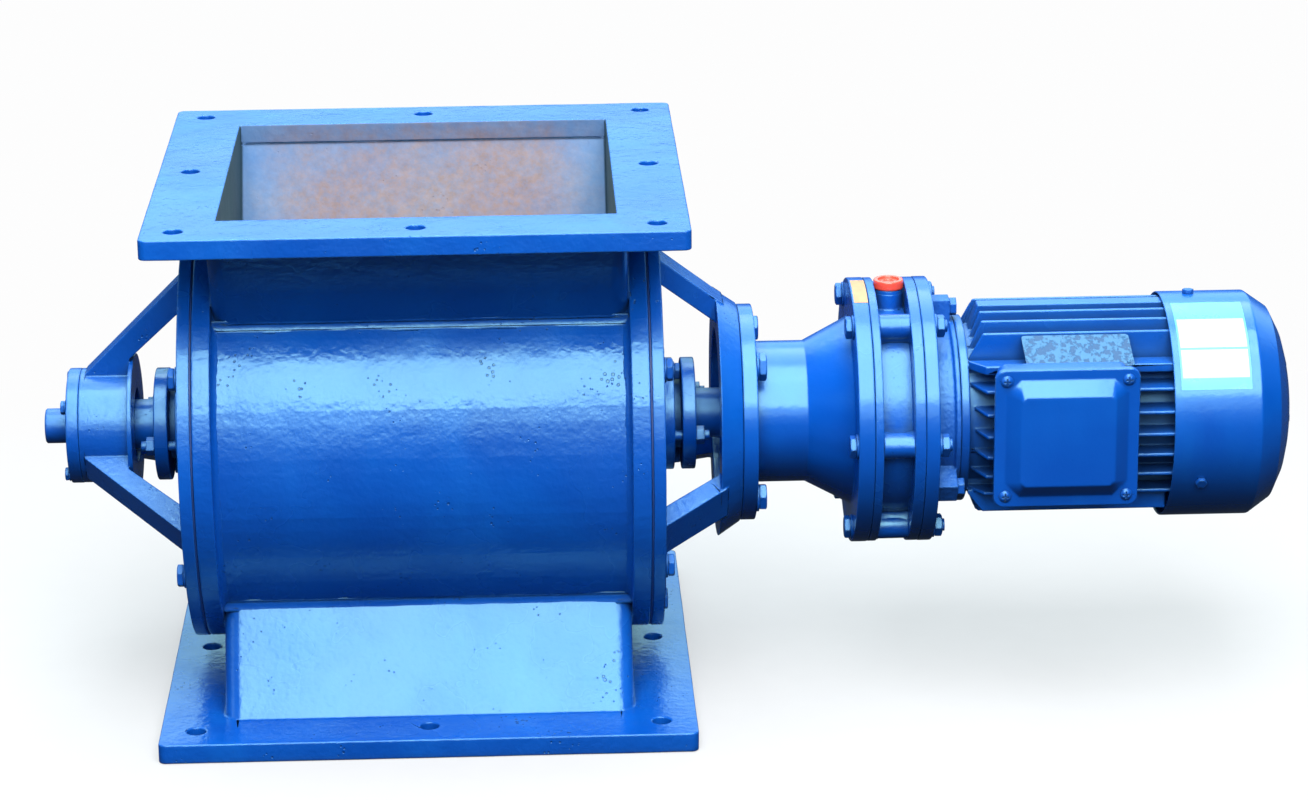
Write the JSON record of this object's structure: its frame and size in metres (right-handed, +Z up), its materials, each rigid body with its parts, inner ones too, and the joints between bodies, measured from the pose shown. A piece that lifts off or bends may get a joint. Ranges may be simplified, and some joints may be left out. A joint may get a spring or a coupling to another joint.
{
  "type": "rotary airlock valve",
  "caption": "Rotary airlock valve: vaned rotor in a flanged cast housing, outboard bearing, packed shaft seals, cycloidal reducer and flanged motor.",
  "frame": {"origin": "centre of the outlet flange's bottom face", "axes": "+X along the shaft towards the motor, +Y away from the terminal box, +Z up to the inlet"},
  "size_m": [0.996, 0.416, 0.416],
  "materials": {
    "cast_paint": "glossy blue enamel over rough castings",
    "bolt_paint": "the same enamel over bolts and nuts, worn on the edges",
    "machined_steel": "turned and ground steel",
    "rotor_steel": "welded steel plate, lightly rusted",
    "lamination": "stacked electrical steel",
    "winding": "varnished copper winding",
    "gasket": "dark fibre gasket sheet",
    "packing": "braided packing",
    "seal": "black lip seal",
    "fan_plastic": "black moulded plastic",
    "plug_red": "red plug"
  },
  "bodies": {
    "housing": {"housing": "cast_paint", "end_cover_left": "cast_paint", "end_cover_right": "cast_paint", "cover_gaskets": "gasket", "cover_bolts": "bolt_paint", "stuffing_box_left": "cast_paint", "stuffing_box_right": "cast_paint", "stuffing_box_bolts": "bolt_paint", "packing_rings": "packing", "gland_left": "cast_paint", "gland_right": "cast_paint", "gland_studs": "bolt_paint", "gland_nuts": "bolt_paint", "bearing_outer_ring": "machined_steel", "bearing_cap": "cast_paint", "bearing_cap_bolts": "bolt_paint", "output_housing": "cast_paint", "mounting_bolts": "bolt_paint", "output_seal": "seal", "output_bearing_outer": "machined_steel", "ring_gear_housing": "cast_paint", "ring_pins": "machined_steel", "input_flange": "cast_paint", "through_bolts": "bolt_paint", "through_nuts": "bolt_paint", "oil_plug": "plug_red", "drive_end_shield": "cast_paint", "motor_bolts": "bolt_paint", "motor_frame": "cast_paint", "stator_core": "lamination", "stator_coils": "winding", "rear_end_shield": "cast_paint", "motor_bearing_outer": "machined_steel", "fan_cowl": "cast_paint", "cowl_screws": "bolt_paint", "terminal_box": "cast_paint", "terminal_block": "fan_plastic", "terminal_lid": "cast_paint", "lid_screws": "bolt_paint"},
    "rotor": {"rotor_shaft": "machined_steel", "rotor_hub": "rotor_steel", "rotor_vanes": "rotor_steel", "shaft_keys": "machined_steel", "bearing_inner_ring": "machined_steel", "bearing_lock_nut": "machined_steel", "output_shaft": "machined_steel", "output_pins": "machined_steel", "output_bearing_inner": "machined_steel"},
    "motor_rotor": {"motor_shaft": "machined_steel", "rotor_core": "lamination", "cooling_fan": "fan_plastic", "motor_bearing_inner": "machined_steel", "eccentric_sleeve": "machined_steel"},
    "disc_a": {"cycloid_disc_a": "machined_steel"},
    "disc_b": {"cycloid_disc_b": "machined_steel"},
    "roller_cage_a": {"rollers_a": "machined_steel"},
    "roller_cage_b": {"rollers_b": "machined_steel"},
    "rotor_ball_set": {"bearing_balls": "machined_steel"},
    "output_ball_sets": {"output_bearing_balls": "machined_steel"},
    "motor_ball_sets": {"motor_bearing_balls": "machined_steel"}
  },
  "joints": [
    {"name": "rotor_spin", "type": "hinge", "parent": "housing", "child": "rotor", "pos_m": [0, 0, 0.208], "axis": [1, 0, 0], "continuous": true},
    {"name": "motor_spin", "type": "hinge", "parent": "housing", "child": "motor_rotor", "pos_m": [0, 0, 0.208], "axis": [1, 0, 0], "continuous": true},
    {"name": "disc_a_spin", "type": "hinge", "parent": "motor_rotor", "child": "disc_a", "pos_m": [0, 0, 0.2095], "axis": [1, 0, 0], "continuous": true},
    {"name": "disc_b_spin", "type": "hinge", "parent": "motor_rotor", "child": "disc_b", "pos_m": [0, 0, 0.2065], "axis": [1, 0, 0], "continuous": true},
    {"name": "roller_a_spin", "type": "hinge", "parent": "motor_rotor", "child": "roller_cage_a", "pos_m": [0, 0, 0.2095], "axis": [1, 0, 0], "continuous": true},
    {"name": "roller_b_spin", "type": "hinge", "parent": "motor_rotor", "child": "roller_cage_b", "pos_m": [0, 0, 0.2065], "axis": [1, 0, 0], "continuous": true},
    {"name": "rotor_ball_spin", "type": "hinge", "parent": "housing", "child": "rotor_ball_set", "pos_m": [0, 0, 0.208], "axis": [1, 0, 0], "continuous": true},
    {"name": "output_ball_spin", "type": "hinge", "parent": "housing", "child": "output_ball_sets", "pos_m": [0, 0, 0.208], "axis": [1, 0, 0], "continuous": true},
    {"name": "motor_ball_spin", "type": "hinge", "parent": "housing", "child": "motor_ball_sets", "pos_m": [0, 0, 0.208], "axis": [1, 0, 0], "continuous": true}
  ],
  "couplings": [
    {"joint": "motor_spin", "follows": "rotor_spin", "ratio": -29},
    {"joint": "disc_a_spin", "follows": "rotor_spin", "ratio": 30},
    {"joint": "disc_b_spin", "follows": "rotor_spin", "ratio": 30},
    {"joint": "roller_a_spin", "follows": "rotor_spin", "ratio": 17.808},
    {"joint": "roller_b_spin", "follows": "rotor_spin", "ratio": 17.808},
    {"joint": "rotor_ball_spin", "follows": "rotor_spin", "ratio": 0.3963},
    {"joint": "output_ball_spin", "follows": "rotor_spin", "ratio": 0.4143},
    {"joint": "motor_ball_spin", "follows": "rotor_spin", "ratio": -10.99}
  ]
}
